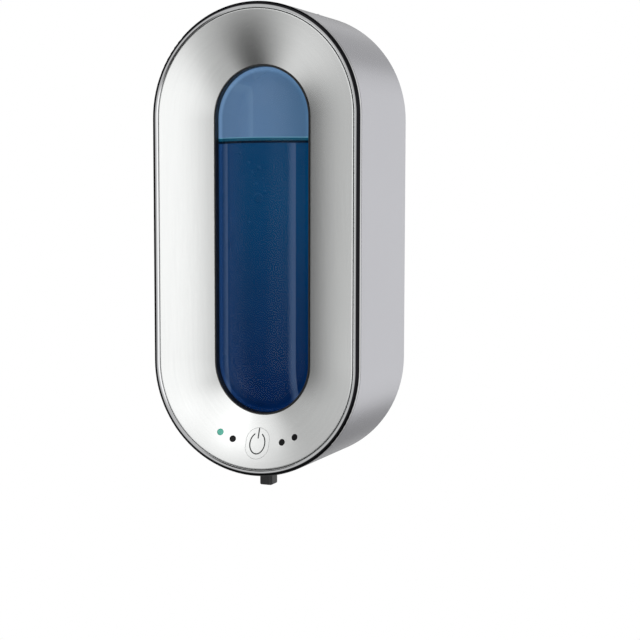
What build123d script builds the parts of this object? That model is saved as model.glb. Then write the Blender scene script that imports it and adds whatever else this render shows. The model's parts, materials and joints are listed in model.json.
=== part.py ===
from build123d import *
import os
from math import acos, atan2, cos, pi, radians, sin, sqrt, tan

# Wall mounted automatic soap dispenser.
# Millimetres. X to the right, +Y into the wall, +Z up. The wall is the plane Y = 0
# and the origin is the middle of the screw pattern on the wall.

# ---- driving dimensions ------------------------------------------------------
BODY_HEIGHT = 280.0
BODY_WIDTH = 134.0
BODY_DEPTH = 82.0
SHELL_WALL = 2.5

OUTER_R = BODY_WIDTH / 2
INNER_R = OUTER_R - SHELL_WALL
ARC_Z = BODY_HEIGHT / 2 - OUTER_R

# layers, counted back from the front plane
FRONT_Y = -BODY_DEPTH
SHELL_FRONT_Y = FRONT_Y + 3.6
SHELL_BACK_Y = -1.0
REAR_STEP_Y = -2.6

# dished front
BEZEL_R = 62.9
LIP_R = 62.2
LIP_Y = FRONT_Y + 0.25
WINDOW_R = 31.2
WINDOW_Y = FRONT_Y + 12.0
BEZEL_T = 1.0
DISH_SLOPE = (WINDOW_Y - LIP_Y) / (LIP_R - WINDOW_R)
DISH_COS = 1 / sqrt(1 + DISH_SLOPE**2)
DISH_SIN = DISH_SLOPE * DISH_COS

# carrier frame and tank joint
PLATE_FRONT_Y = FRONT_Y + 12.4
PLATE_BACK_Y = PLATE_FRONT_Y + 2.5
PLATE_IN_R = 32.4
FLANGE_R = 41.0
FLANGE_T = 2.0
SEAL_T = 1.2
FLANGE_Y = PLATE_BACK_Y + SEAL_T
GASKET_T = 0.8
BOARD_FRONT_Y = PLATE_BACK_Y + 0.02
BOARD_T = 1.6
TUB_Y = FLANGE_Y + FLANGE_T + GASKET_T
TUB_R = 34.0
TUB_BACK_Y = -30.0
TANK_WALL = 2.0
DOME_R = 30.2
CROWN_Y = FRONT_Y + 7.0
LIQUID_Z = 61.8

# hatches in the side shell
HINGE_Y = -10.6
HINGE_Z = 138.0
KNUCKLE_R = 1.9
PIN_R = 1.0
HATCH_BACK_Y = -12.8
HATCH_T = 2.4
LID_HALF = 31.0
LID_FRONT_Y = -72.0
DOOR_HALF = 33.0
DOOR_FRONT_Y = -31.5
HATCH_GAP = 0.35
HATCH_FRONT_GAP = 0.7
HATCH_BACK_GAP = 0.3
HATCH_UNDERCUT = 0.8
HATCH_EDGE_T = 0.5
KNUCKLE_LENGTH = 5.8

# drive
MOTOR_Y = -19.5
MOTOR_Z = -40.0
GEAR_TEETH = 12
GEAR_MODULE = 0.7
GEAR_PITCH_R = GEAR_TEETH * GEAR_MODULE / 2
GEAR_TIP_R = GEAR_PITCH_R + 0.9 * GEAR_MODULE
GEAR_LENGTH = 7.6
IDLER_Z = MOTOR_Z + 2 * GEAR_PITCH_R
MESH_Z = MOTOR_Z + GEAR_PITCH_R
SHAFT_R = 1.0

# battery bay
CELL_R = 7.25
CELL_LENGTH = 50.5
CELL_PITCH = 14.8
CELL_Y = -20.5
CELL_BOTTOM_Z = -126.5
CELL_X = [CELL_PITCH * (place - 1.5) for place in range(4)]

# outlet
NOZZLE_Y = FRONT_Y + 22.0
NOZZLE_TIP_Z = -148.4
NOZZLE_WIDTH = 8.0
NOZZLE_DEPTH = 10.0

# power key
KEY_Z = -121.0
KEY_WIDTH = 15.0
KEY_HEIGHT = 19.0
KEY_SEAM = 0.15
KEY_BAY_WIDTH = 40.0
KEY_BAY_HEIGHT = 22.0

# wall plate
WALL_PLATE_HEIGHT = 228.0
WALL_PLATE_WIDTH = 104.0
WALL_PLATE_T = 3.5
SCREW_X = 32.0
SCREW_Z = 80.0
HOOK_X = 40.0
HOOK_Z = (62.0, -42.0)
HOOK_WIDTH = 8.0
LIFT_OFF = 12.0
COVER_FRONT_Y = -8.0
COVER_BACK_Y = -5.5

os.makedirs("parts", exist_ok=True)


# ---- helpers -----------------------------------------------------------------
def save(piece, name):
    """Label one finished sub-part and write it to its own file."""
    piece.part.label = name
    export_step(piece.part, f"parts/{name}.step")


def carry_round(draw_section):
    """Carry one radial section (x outward, y deep) round the racetrack of the body."""
    with BuildPart() as solid:
        with BuildSketch(Plane.XY):
            with BuildLine():
                draw_section()
            make_face()
        extrude(amount=ARC_Z)
        mirror(about=Plane.YZ)
        with BuildSketch(Plane.XY.offset(ARC_Z)):
            with BuildLine():
                draw_section()
            make_face()
        revolve(axis=Axis((0, 0, ARC_Z), (0, -1, 0)), revolution_arc=180)
        mirror(about=Plane.XY)
    return solid.part


def band(inner_r, outer_r, front_y, back_y):
    """Plain racetrack band between two radii."""
    corners = [(inner_r, front_y), (outer_r, front_y), (outer_r, back_y), (inner_r, back_y)]
    return carry_round(lambda: Polyline(*corners, close=True))


def facing_front(y):
    """Plane at depth y that faces the front: local x is X, local y is Z."""
    return Plane(origin=(0, y, 0), x_dir=(1, 0, 0), z_dir=(0, -1, 0))


def facing_back(y):
    """Plane at depth y that faces the wall: local x is -X, local y is Z."""
    return Plane(origin=(0, y, 0), x_dir=(-1, 0, 0), z_dir=(0, 1, 0))


def facing_side(x, y=MOTOR_Y, z=MOTOR_Z):
    """Plane at side position x that faces +X: local x is Y, local y is Z."""
    return Plane(origin=(x, y, z), x_dir=(0, 1, 0), z_dir=(1, 0, 0))


def dish_y(r):
    """Depth of the dished face at a distance r from the racetrack's spine."""
    return LIP_Y + (LIP_R - r) * DISH_SLOPE


def dish_plane(x, z):
    """Plane on the lower end of the dished face, facing straight out of it."""
    r = sqrt(x**2 + (z + ARC_Z) ** 2)
    ux = x / r
    uz = (z + ARC_Z) / r
    outward = Vector(-DISH_SIN * ux, -DISH_COS, -DISH_SIN * uz)
    across = Vector(0, 0, 1).cross(outward) * -1
    return Plane(origin=(x, dish_y(r), z), x_dir=across, z_dir=outward)


def pan_screw(head_r, head_t, shank_r, shank_length):
    """Pan-head cross-recess screw: underside of the head at the origin, shank to -Z."""
    with BuildPart() as screw:
        Cylinder(head_r, head_t, align=(Align.CENTER, Align.CENTER, Align.MIN))
        fillet(screw.edges().group_by(Axis.Z)[-1], 0.45 * head_t)
        Cylinder(shank_r, shank_length, align=(Align.CENTER, Align.CENTER, Align.MAX))
        with BuildSketch(Plane.XY.offset(head_t)):
            Rectangle(1.1 * head_r, 0.24 * head_r)
            Rectangle(0.24 * head_r, 1.1 * head_r)
        extrude(amount=-0.6 * head_t, mode=Mode.SUBTRACT)
    return screw.part


def bend_radii(points):
    """One arc for each corner of a route: 0.45 of the shorter run beside it."""
    radii = []
    for before, corner, after in zip(points, points[1:], points[2:]):
        run_in = Vector(*corner) - Vector(*before)
        run_out = Vector(*after) - Vector(*corner)
        turn = radians(run_in.get_angle(run_out))
        radii.append(0.45 * min(run_in.length, run_out.length) / tan(turn / 2))
    return radii


def tube_along(points, outer_r, inner_r=0.0):
    """Hose or wire along a route of straight runs joined by tangent arcs."""
    radii = bend_radii(points)
    print("bend radii", [round(radius, 1) for radius in radii])
    start = Vector(*points[0])
    ahead = Vector(*points[1]) - start
    with BuildPart() as tube:
        with BuildLine():
            FilletPolyline(*points, radius=radii)
        with BuildSketch(Plane(origin=start, z_dir=ahead)):
            Circle(outer_r)
            if inner_r:
                Circle(inner_r, mode=Mode.SUBTRACT)
        sweep()
    return tube.part


def gear_blank(teeth, module, bore_r, length):
    """Involute spur gear along local Z with a tooth on the local X axis."""
    pressure = radians(25)
    pitch_r = teeth * module / 2
    base_r = pitch_r * cos(pressure)
    tip_r = pitch_r + 0.9 * module
    root_r = pitch_r - 1.25 * module
    backlash = 0.14
    half_tooth = pi / (2 * teeth) - backlash / (2 * pitch_r)
    spread_at_pitch = tan(pressure) - pressure

    def flank_point(r, side):
        angle = acos(min(1.0, base_r / r))
        polar = half_tooth + spread_at_pitch - (tan(angle) - angle)
        return (r * cos(side * polar), r * sin(side * polar))

    steps = [base_r + (tip_r - base_r) * step / 4 for step in range(5)]
    upper = [flank_point(r, 1) for r in steps]
    lower = [flank_point(r, -1) for r in steps]
    foot = atan2(upper[0][1], upper[0][0])
    upper_foot = (0.9 * root_r * cos(foot), 0.9 * root_r * sin(foot))
    lower_foot = (upper_foot[0], -upper_foot[1])
    with BuildSketch() as tooth:
        with BuildLine():
            Line(upper_foot, upper[0])
            Spline(*upper)
            ThreePointArc(upper[-1], (tip_r, 0), lower[-1])
            Spline(*reversed(lower))
            Line(lower[0], lower_foot)
            Line(lower_foot, upper_foot)
        make_face()
    with BuildPart() as gear:
        with BuildSketch():
            Circle(root_r)
            with PolarLocations(0, teeth):
                add(tooth.sketch)
            Circle(bore_r, mode=Mode.SUBTRACT)
        extrude(amount=length)
    return gear.part


def coil(radius, wire_r, height, turns):
    """Helical compression spring standing on the local XY plane."""
    with BuildPart() as spring:
        with BuildLine() as path:
            Helix(pitch=height / turns, height=height, radius=radius)
        with BuildSketch(Plane(origin=path.line @ 0, z_dir=path.line % 0)):
            Circle(wire_r)
        sweep()
    return spring.part


# ---- wall plate --------------------------------------------------------------
with BuildPart() as wall_plate:
    with BuildSketch(facing_front(0)):
        SlotOverall(WALL_PLATE_HEIGHT, WALL_PLATE_WIDTH, rotation=90)
    extrude(amount=WALL_PLATE_T)
    chamfer(wall_plate.edges().group_by(Axis.Y)[0], 0.8)
    for hook_z in HOOK_Z:
        for hook_x in (-HOOK_X, HOOK_X):
            stem_length = 7.0
            stem = (hook_x, -WALL_PLATE_T - stem_length / 2, hook_z - 1.5)
            with Locations(stem):
                Box(HOOK_WIDTH, stem_length, 3)
            with Locations((hook_x, -WALL_PLATE_T - stem_length + 1, hook_z + 1.5)):
                Box(HOOK_WIDTH, 2, 9)
    with Locations(facing_front(-WALL_PLATE_T)):
        with GridLocations(2 * SCREW_X, 2 * SCREW_Z, 2, 2):
            CounterSinkHole(radius=2.4, counter_sink_radius=4.6)
save(wall_plate, "wall_plate")

# ---- side shell --------------------------------------------------------------


def shell_section():
    Polyline(
        (INNER_R, SHELL_FRONT_Y),
        (OUTER_R, SHELL_FRONT_Y),
        (OUTER_R, REAR_STEP_Y),
        (OUTER_R - 0.7, REAR_STEP_Y),
        (OUTER_R - 0.7, SHELL_BACK_Y),
        (INNER_R, SHELL_BACK_Y),
        close=True,
    )


with BuildPart() as side_shell:
    add(carry_round(shell_section))
    for side, half_width, front_y in ((1, LID_HALF, LID_FRONT_Y), (-1, DOOR_HALF, DOOR_FRONT_Y)):
        opening_front = front_y - HATCH_FRONT_GAP
        opening_back = HATCH_BACK_Y + HATCH_BACK_GAP
        opening_depth = opening_back - opening_front
        middle = (opening_front + opening_back) / 2
        with Locations((0, middle, side * BODY_HEIGHT / 2)):
            Box(2 * (half_width + HATCH_GAP), opening_depth, 40, mode=Mode.SUBTRACT)
        with Locations((0, -10.4, side * 139)):
            Box(12.4, 4.4, 8, mode=Mode.SUBTRACT)
        for end in (-1, 1):
            with Locations(Pos(end * 9.1, HINGE_Y, side * HINGE_Z) * Rot(0, 90, 0)):
                Cylinder(KNUCKLE_R, KNUCKLE_LENGTH)
        with Locations(Pos(0, HINGE_Y, side * HINGE_Z) * Rot(0, 90, 0)):
            Cylinder(PIN_R, 24.2, mode=Mode.SUBTRACT)
    with Locations((0, NOZZLE_Y, -139)):
        Box(NOZZLE_WIDTH + 0.3, NOZZLE_DEPTH + 0.3, 8, mode=Mode.SUBTRACT)
    with BuildSketch(Plane.XY.offset(-145)):
        with Locations((0, NOZZLE_Y + 15)):
            SlotOverall(12.2, 7.2)
    extrude(amount=12, mode=Mode.SUBTRACT)
save(side_shell, "side_shell")

for side, name in ((1, "lid_hinge_pin"), (-1, "door_hinge_pin")):
    with BuildPart() as hinge_pin:
        with Locations(Pos(0, HINGE_Y, side * HINGE_Z) * Rot(0, 90, 0)):
            Cylinder(PIN_R, 24)
    save(hinge_pin, name)


# ---- hatches: fill lid and battery door ---------------------------------------
def hatch_skin(side, half_width, front_y):
    """Curved hatch cut from the shell's band, with its middle hinge knuckle.

    Behind a thin visible edge the rear of the skin is undercut, so it clears the shell as it turns.
    """
    undercut_y = HATCH_BACK_Y - HATCH_UNDERCUT
    with BuildPart() as skin:
        add(band(OUTER_R - HATCH_T, OUTER_R, front_y, HATCH_BACK_Y))
        with Locations((0, (front_y + HATCH_BACK_Y) / 2, side * BODY_HEIGHT / 2)):
            Box(2 * half_width, HATCH_BACK_Y - front_y, 40, mode=Mode.INTERSECT)
        undercut = band(OUTER_R - HATCH_T - 1, OUTER_R - HATCH_EDGE_T, undercut_y, HATCH_BACK_Y + 1)
        add(undercut, mode=Mode.SUBTRACT)
        with Locations((0, undercut_y - 0.4, side * (HINGE_Z + 0.7))):
            Box(2 * KNUCKLE_LENGTH, HINGE_Y - undercut_y, 2.0, align=(Align.CENTER, Align.MIN, Align.CENTER))
        with Locations(Pos(0, HINGE_Y, side * HINGE_Z) * Rot(0, 90, 0)):
            Cylinder(KNUCKLE_R, 2 * KNUCKLE_LENGTH + 0.2)
            Cylinder(PIN_R + 0.06, 14, mode=Mode.SUBTRACT)
    return skin.part


with BuildPart() as fill_lid:
    add(hatch_skin(1, LID_HALF, LID_FRONT_Y))
    for rib_x in (-27.5, 27.5):
        with Locations((rib_x, -42, 132.4)):
            Box(1.6, 46, 4.2)
    with Locations(Pos(0, -42, ARC_Z) * Rot(90, 0, 0)):
        Cylinder(OUTER_R, 80, mode=Mode.INTERSECT)
save(fill_lid, "fill_lid")

NECK_X = 46.0
NECK_Y = 28.0
NECK_MID_Y = -48.0
NECK_TOP_Z = 131.6
with BuildPart() as lid_gasket:
    with Locations((0, NECK_MID_Y, NECK_TOP_Z + 0.3)):
        Box(NECK_X + 3, NECK_Y + 3, 9, align=(Align.CENTER, Align.CENTER, Align.MIN))
    with Locations(Pos(0, NECK_MID_Y, ARC_Z) * Rot(90, 0, 0)):
        Cylinder(OUTER_R - HATCH_T, 80, mode=Mode.INTERSECT)
save(lid_gasket, "lid_gasket")

with BuildPart() as battery_door:
    add(hatch_skin(-1, DOOR_HALF, DOOR_FRONT_Y))
    with Locations((0, CELL_Y, -128.6)):
        Box(59, 13.6, 13, align=(Align.CENTER, Align.CENTER, Align.MAX))
    with Locations(Pos(0, CELL_Y, -ARC_Z) * Rot(90, 0, 0)):
        Cylinder(OUTER_R, 80, mode=Mode.INTERSECT)
save(battery_door, "battery_door")


# ---- front: trim ring, gasket, dished bezel, carrier ---------------------------
def trim_section():
    face_y = FRONT_Y
    side_y = SHELL_FRONT_Y - 0.5
    Polyline((65.2, face_y), (64.0, face_y), (63.3, face_y + 0.7), (63.3, -75.0), (64.3, -75.0))
    Polyline((64.3, -75.0), (64.3, side_y), (OUTER_R, side_y), (OUTER_R, face_y + 1.8))
    ThreePointArc((OUTER_R, face_y + 1.8), (66.5, face_y + 0.5), (65.2, face_y))


with BuildPart() as trim_ring:
    add(carry_round(trim_section))
save(trim_ring, "trim_ring")

with BuildPart() as shell_gasket:
    add(band(64.35, OUTER_R - 0.35, SHELL_FRONT_Y - 0.5, SHELL_FRONT_Y))
save(shell_gasket, "shell_gasket")


def bezel_section():
    rim_y = FRONT_Y + 2.4
    Polyline((BEZEL_R, rim_y), (BEZEL_R, LIP_Y + 0.5))
    ThreePointArc((BEZEL_R, LIP_Y + 0.5), (BEZEL_R - 0.25, LIP_Y + 0.1), (LIP_R, LIP_Y))
    Polyline(
        (LIP_R, LIP_Y),
        (WINDOW_R + 0.4, dish_y(WINDOW_R + 0.4)),
        (WINDOW_R, dish_y(WINDOW_R) + 0.1),
        (WINDOW_R + 0.3, PLATE_FRONT_Y - 0.05),
        (WINDOW_R + 1.8, PLATE_FRONT_Y - 0.05),
        (LIP_R - 0.6, dish_y(LIP_R - 0.6) + BEZEL_T / DISH_COS),
        (LIP_R - 0.3, rim_y),
        (BEZEL_R, rim_y),
    )


LIGHTS = [(-24.5, -115.6), (-16.2, -119.2), (16.2, -119.2), (24.5, -115.6)]
LIGHT_R = 2.05
KEY_PLANE = dish_plane(0, KEY_Z)
bezel_blank = carry_round(bezel_section)

with BuildPart() as front_bezel:
    add(bezel_blank)
    with BuildSketch(KEY_PLANE.offset(6)):
        SlotOverall(KEY_HEIGHT + 2 * KEY_SEAM, KEY_WIDTH + 2 * KEY_SEAM, rotation=90)
    extrude(amount=-12, mode=Mode.SUBTRACT)
    for light_x, light_z in LIGHTS:
        with BuildSketch(dish_plane(light_x, light_z).offset(3)):
            Circle(LIGHT_R)
        extrude(amount=-6, mode=Mode.SUBTRACT)
save(front_bezel, "front_bezel")

# key: the piece of dish inside the seam, with a shallow power mark cut in its face,
# whose gap and bar are at the top (the key plane's own y points down)
MARK_WIDTH = 10.5
MARK_HEIGHT = 13.6
MARK_LINE = 0.75
MARK_GAP = 4.4
MARK_BAR = 7.6
MARK_DEPTH = 0.25
with BuildPart() as power_button:
    add(bezel_blank)
    with BuildSketch(KEY_PLANE.offset(6)):
        SlotOverall(KEY_HEIGHT, KEY_WIDTH, rotation=90)
    extrude(amount=-12, mode=Mode.INTERSECT)
    with BuildSketch(KEY_PLANE.offset(2)):
        Ellipse(MARK_WIDTH / 2, MARK_HEIGHT / 2)
        Ellipse(MARK_WIDTH / 2 - MARK_LINE, MARK_HEIGHT / 2 - MARK_LINE, mode=Mode.SUBTRACT)
        with Locations((0, -MARK_HEIGHT / 2)):
            Rectangle(MARK_GAP, MARK_GAP, mode=Mode.SUBTRACT)
            Rectangle(MARK_LINE, MARK_BAR)
    extrude(amount=-2 - MARK_DEPTH, mode=Mode.SUBTRACT)
save(power_button, "power_button")

STEM_R = 2.0
STEM_END = 4.2
with BuildPart() as button_plunger:
    with BuildSketch(KEY_PLANE.offset(-2.6)):
        SlotOverall(KEY_HEIGHT + 2.4, KEY_WIDTH + 2.4, rotation=90)
    extrude(amount=1.2)
    with BuildSketch(KEY_PLANE.offset(-2.6)):
        SlotOverall(11, 6, rotation=90)
    extrude(amount=1.6)
    with BuildSketch(KEY_PLANE.offset(-2.6)):
        Circle(STEM_R)
    extrude(amount=2.6 - STEM_END)
save(button_plunger, "button_plunger")

# guide that the stem runs in, standing on the board, with the return spring on it
GUIDE_TOP = 3.6
GUIDE_T = 0.8
GUIDE_WIDTH = 12.0
GUIDE_LEG_X = 5.2
with BuildPart() as button_guide:
    with BuildSketch(KEY_PLANE.offset(-GUIDE_TOP)):
        SlotOverall(GUIDE_WIDTH + 4, GUIDE_WIDTH, rotation=90)
    extrude(amount=-GUIDE_T)
    for leg_x in (-GUIDE_LEG_X, GUIDE_LEG_X):
        with Locations((leg_x, BOARD_FRONT_Y - 0.02, KEY_Z)):
            Box(1.4, 5.4, 5.0, align=(Align.CENTER, Align.MAX, Align.CENTER))
    with BuildSketch(KEY_PLANE.offset(-GUIDE_TOP)):
        Rectangle(2 * GUIDE_WIDTH, 2 * GUIDE_WIDTH)
    extrude(amount=10, mode=Mode.SUBTRACT)
    with BuildSketch(KEY_PLANE.offset(-GUIDE_TOP)):
        Circle(STEM_R + 0.15)
    extrude(amount=-GUIDE_T, mode=Mode.SUBTRACT)
save(button_guide, "button_guide")

with BuildPart() as button_spring:
    with BuildSketch(KEY_PLANE.offset(-GUIDE_TOP + 0.02)):
        Circle(3.6)
        Circle(2.7, mode=Mode.SUBTRACT)
    extrude(amount=GUIDE_TOP - 2.6 - 0.04)
save(button_spring, "button_spring")

# carrier frame: flat racetrack plate, bezel wall, posts for the rear screws
POSTS = [(-60, 38), (60, 38), (-60, -38), (60, -38), (-42, 115), (42, 115), (-42, -115), (42, -115)]
POST_R = 3.5
TANK_SCREW_R = 38.3
TANK_SCREWS = [(side * TANK_SCREW_R, z) for side in (-1, 1) for z in (-60, 0, 60)]
TANK_SCREWS += [
    (TANK_SCREW_R * sin(radians(turn)), end * (ARC_Z + TANK_SCREW_R * cos(radians(turn))))
    for end in (-1, 1)
    for turn in (-40, 40)
]
BOARD_SCREWS = [(-26.0, -123.6), (26.0, -123.6)]
with BuildPart() as front_carrier:
    add(band(PLATE_IN_R, 64.3, PLATE_FRONT_Y, PLATE_BACK_Y))
    add(band(60.6, 62.6, FRONT_Y + 2.6, PLATE_FRONT_Y))
    with BuildSketch(facing_back(PLATE_BACK_Y)):
        with Locations(*POSTS):
            Circle(POST_R)
    extrude(amount=COVER_FRONT_Y - PLATE_BACK_Y)
    with BuildSketch(facing_back(PLATE_BACK_Y)):
        with Locations(*TANK_SCREWS):
            Circle(2.6)
    extrude(amount=SEAL_T - 0.02)
    with BuildSketch(facing_back(PLATE_BACK_Y + SEAL_T + 0.1)):
        with Locations(*TANK_SCREWS):
            Circle(1.25)
        with Locations(*BOARD_SCREWS):
            Circle(1.0)
    extrude(amount=-6, mode=Mode.SUBTRACT)
    with BuildSketch(facing_back(COVER_FRONT_Y)):
        with Locations(*POSTS):
            Circle(1.5)
    extrude(amount=-16, mode=Mode.SUBTRACT)
    with BuildSketch(facing_front(PLATE_FRONT_Y - 1)):
        with Locations((0, KEY_Z)):
            Rectangle(KEY_BAY_WIDTH, KEY_BAY_HEIGHT)
        with Locations((-24.5, -115.6), (24.5, -115.6)):
            Circle(2.4)
    extrude(amount=-5, mode=Mode.SUBTRACT)
save(front_carrier, "front_carrier")


# ---- tank --------------------------------------------------------------------
def crown_arc(edge_r, edge_y, crown_y):
    """Arc from the crown on the spine out to the edge, level at the crown."""
    rise = edge_y - crown_y
    bow_r = (edge_r**2 + rise**2) / (2 * rise)
    mid_r = edge_r / 2
    mid_y = crown_y + bow_r - sqrt(bow_r**2 - mid_r**2)
    ThreePointArc((0, crown_y), (mid_r, mid_y), (edge_r, edge_y))


def seal_section():
    Polyline(
        (30.3, FLANGE_Y),
        (30.3, WINDOW_Y - 0.2),
        (30.6, WINDOW_Y - 0.6),
        (30.9, WINDOW_Y - 0.6),
        (31.1, WINDOW_Y - 0.2),
        (31.1, PLATE_BACK_Y),
        (35.5, PLATE_BACK_Y),
        (35.5, FLANGE_Y),
        close=True,
    )


with BuildPart() as window_seal:
    add(carry_round(seal_section))
save(window_seal, "window_seal")

TANK_IN_R = TUB_R - TANK_WALL
DOME_IN_R = 28.4
FLANGE_BACK_Y = FLANGE_Y + FLANGE_T


def front_tank_section():
    crown_arc(DOME_R, FLANGE_Y, CROWN_Y)
    Polyline(
        (DOME_R, FLANGE_Y),
        (FLANGE_R, FLANGE_Y),
        (FLANGE_R, FLANGE_BACK_Y),
        (DOME_IN_R, FLANGE_BACK_Y),
    )
    crown_arc(DOME_IN_R, FLANGE_BACK_Y, CROWN_Y + TANK_WALL)
    Line((0, CROWN_Y + TANK_WALL), (0, CROWN_Y))


def screw_holes(y, places, radius, length):
    """Round pins from depth y toward the front, to cut a row of holes with."""
    with BuildPart() as pins:
        with BuildSketch(facing_back(y)):
            with Locations(*places):
                Circle(radius)
        extrude(amount=-length)
    return pins.part


with BuildPart() as tank_front:
    add(carry_round(front_tank_section))
    add(screw_holes(FLANGE_BACK_Y + 1, TANK_SCREWS, 1.4, 4), mode=Mode.SUBTRACT)
save(tank_front, "tank_front")

with BuildPart() as tank_gasket:
    add(band(TANK_IN_R + 0.6, TUB_R + 1.6, FLANGE_BACK_Y, TUB_Y))
save(tank_gasket, "tank_gasket")


def tub_outline(radius, front_y, back_y, corner):
    """Half section of a tub from the spine out to its wall, with a rounded back."""
    bend = (radius - corner * (1 - sin(pi / 4)), back_y - corner * (1 - cos(pi / 4)))
    Polyline((0, back_y), (0, front_y), (radius, front_y), (radius, back_y - corner))
    ThreePointArc((radius, back_y - corner), bend, (radius - corner, back_y))
    Line((radius - corner, back_y), (0, back_y))


OUTLET = (14.0, -45.0)
FLANGE_REAR_Y = TUB_Y + FLANGE_T
with BuildPart() as tank_rear:
    add(carry_round(lambda: tub_outline(TUB_R, TUB_Y, TUB_BACK_Y, 6.0)))
    add(band(TANK_IN_R, FLANGE_R, TUB_Y, FLANGE_REAR_Y))
    with BuildSketch(Plane.XY.offset(96)):
        with Locations((0, NECK_MID_Y)):
            RectangleRounded(NECK_X, NECK_Y, 5)
    extrude(amount=NECK_TOP_Z - 96)
    with Locations((OUTLET[0], OUTLET[1], -106)):
        Cylinder(4.5, 8)
    inside = carry_round(
        lambda: tub_outline(TANK_IN_R, TUB_Y - 1, TUB_BACK_Y - TANK_WALL, 4.5)
    )
    add(inside, mode=Mode.SUBTRACT)
    with BuildSketch(Plane.XY.offset(90)):
        with Locations((0, NECK_MID_Y)):
            RectangleRounded(NECK_X - 4, NECK_Y - 4, 3)
    extrude(amount=NECK_TOP_Z - 89, mode=Mode.SUBTRACT)
    with Locations((OUTLET[0], OUTLET[1], -104)):
        Cylinder(2.1, 20, mode=Mode.SUBTRACT)
    add(screw_holes(FLANGE_REAR_Y + 1, TANK_SCREWS, 1.4, 4), mode=Mode.SUBTRACT)
save(tank_rear, "tank_rear")

LIQUID_GAP = 0.15


def liquid_section():
    front_r = DOME_IN_R - 0.25
    side_r = TANK_IN_R - LIQUID_GAP
    back_y = TUB_BACK_Y - TANK_WALL - LIQUID_GAP
    corner = 4.5
    bend = (side_r - corner * (1 - sin(pi / 4)), back_y - corner * (1 - cos(pi / 4)))
    crown_arc(front_r, FLANGE_BACK_Y, CROWN_Y + TANK_WALL + LIQUID_GAP)
    Polyline(
        (front_r, FLANGE_BACK_Y),
        (front_r, TUB_Y + 0.2),
        (side_r, TUB_Y + 0.2),
        (side_r, back_y - corner),
    )
    ThreePointArc((side_r, back_y - corner), bend, (side_r - corner, back_y))
    Polyline((side_r - corner, back_y), (0, back_y), (0, CROWN_Y + TANK_WALL + LIQUID_GAP))


with BuildPart() as liquid_soap:
    add(carry_round(liquid_section))
    with BuildSketch(Plane.XY.offset(LIQUID_Z)):
        Rectangle(200, 200)
    extrude(amount=100, mode=Mode.SUBTRACT)
save(liquid_soap, "liquid_soap")

with BuildPart() as tank_screws:
    with Locations(facing_back(FLANGE_REAR_Y)):
        with Locations(*TANK_SCREWS):
            add(pan_screw(2.5, 1.7, 1.2, 8.0))
save(tank_screws, "tank_screws")

with BuildPart() as fill_tray:
    with BuildSketch(Plane.XY.offset(128.3)):
        with Locations((0, -39.9)):
            RectangleRounded(59.4, 53.8, 4)
        with Locations((0, NECK_MID_Y)):
            RectangleRounded(NECK_X + 0.4, NECK_Y + 0.4, 5.2, mode=Mode.SUBTRACT)
    extrude(amount=1.5)
save(fill_tray, "fill_tray")

# ---- indicator lights, board, switch, sensor -----------------------------------


def light_pipe(x, z):
    """Domed lens that fills its hole in the dish, with a stem back to the board."""
    plane = dish_plane(x, z)
    with BuildPart() as lens:
        with BuildSketch(plane.offset(-0.9)):
            Circle(LIGHT_R - 0.1)
        extrude(amount=1.0)
        outward = Axis(plane.origin, plane.z_dir)
        rim = lens.edges().filter_by(GeomType.CIRCLE).sort_by(outward)[-1]
        fillet(rim, 0.5)
        with BuildSketch(facing_back(plane.origin.Y + 0.6)):
            with Locations((-x, z)):
                Circle(1.3)
        extrude(amount=BOARD_FRONT_Y - 1.2 - plane.origin.Y - 0.6)
    return lens.part


with BuildPart() as indicator_lens_lit:
    add(light_pipe(*LIGHTS[0]))
save(indicator_lens_lit, "indicator_lens_lit")

with BuildPart() as indicator_lenses_dark:
    for light in LIGHTS[1:]:
        add(light_pipe(*light))
save(indicator_lenses_dark, "indicator_lenses_dark")

with BuildPart() as control_board:
    with BuildSketch(facing_back(BOARD_FRONT_Y)):
        with Locations((0, -121.0)):
            Rectangle(60, 10.6)
    extrude(amount=BOARD_T)
    add(screw_holes(BOARD_FRONT_Y + BOARD_T + 1, BOARD_SCREWS, 1.1, 4), mode=Mode.SUBTRACT)
save(control_board, "control_board")

with BuildPart() as board_components:
    with Locations(facing_back(BOARD_FRONT_Y + BOARD_T)):
        with Locations((-8, -121)):
            Box(7, 7, 1.1, align=(Align.CENTER, Align.CENTER, Align.MIN))
        with Locations((4, -119.5), (4, -122.5), (9, -119.5)):
            Box(2.6, 1.6, 0.8, align=(Align.CENTER, Align.CENTER, Align.MIN))
    with Locations(facing_front(BOARD_FRONT_Y)):
        with Locations(*LIGHTS):
            Box(2.4, 1.6, 1.0, align=(Align.CENTER, Align.CENTER, Align.MIN))
save(board_components, "board_components")

with BuildPart() as board_screws:
    with Locations(facing_back(BOARD_FRONT_Y + BOARD_T)):
        with Locations(*BOARD_SCREWS):
            add(pan_screw(1.9, 1.2, 0.95, 4.5))
save(board_screws, "board_screws")

with BuildPart() as tact_switch:
    with Locations(facing_front(BOARD_FRONT_Y)):
        with Locations((0, KEY_Z - 2.0)):
            Box(6, 6, 3.4, align=(Align.CENTER, Align.CENTER, Align.MIN))
            Cylinder(1.7, 3.9, align=(Align.CENTER, Align.CENTER, Align.MIN))
save(tact_switch, "tact_switch")

SENSOR_Y = NOZZLE_Y + 15
with BuildPart() as sensor_window:
    with BuildSketch(Plane.XY.offset(-145)):
        with Locations((0, SENSOR_Y)):
            SlotOverall(12, 7)
    extrude(amount=8)
    with BuildSketch(Plane.XY.offset(-137.0)):
        with Locations((0, SENSOR_Y)):
            SlotOverall(15, 10)
    extrude(amount=1.2)
    with Locations(Pos(0, SENSOR_Y, -ARC_Z) * Rot(90, 0, 0)):
        Cylinder(OUTER_R, 40, mode=Mode.INTERSECT)
save(sensor_window, "sensor_window")

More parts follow.
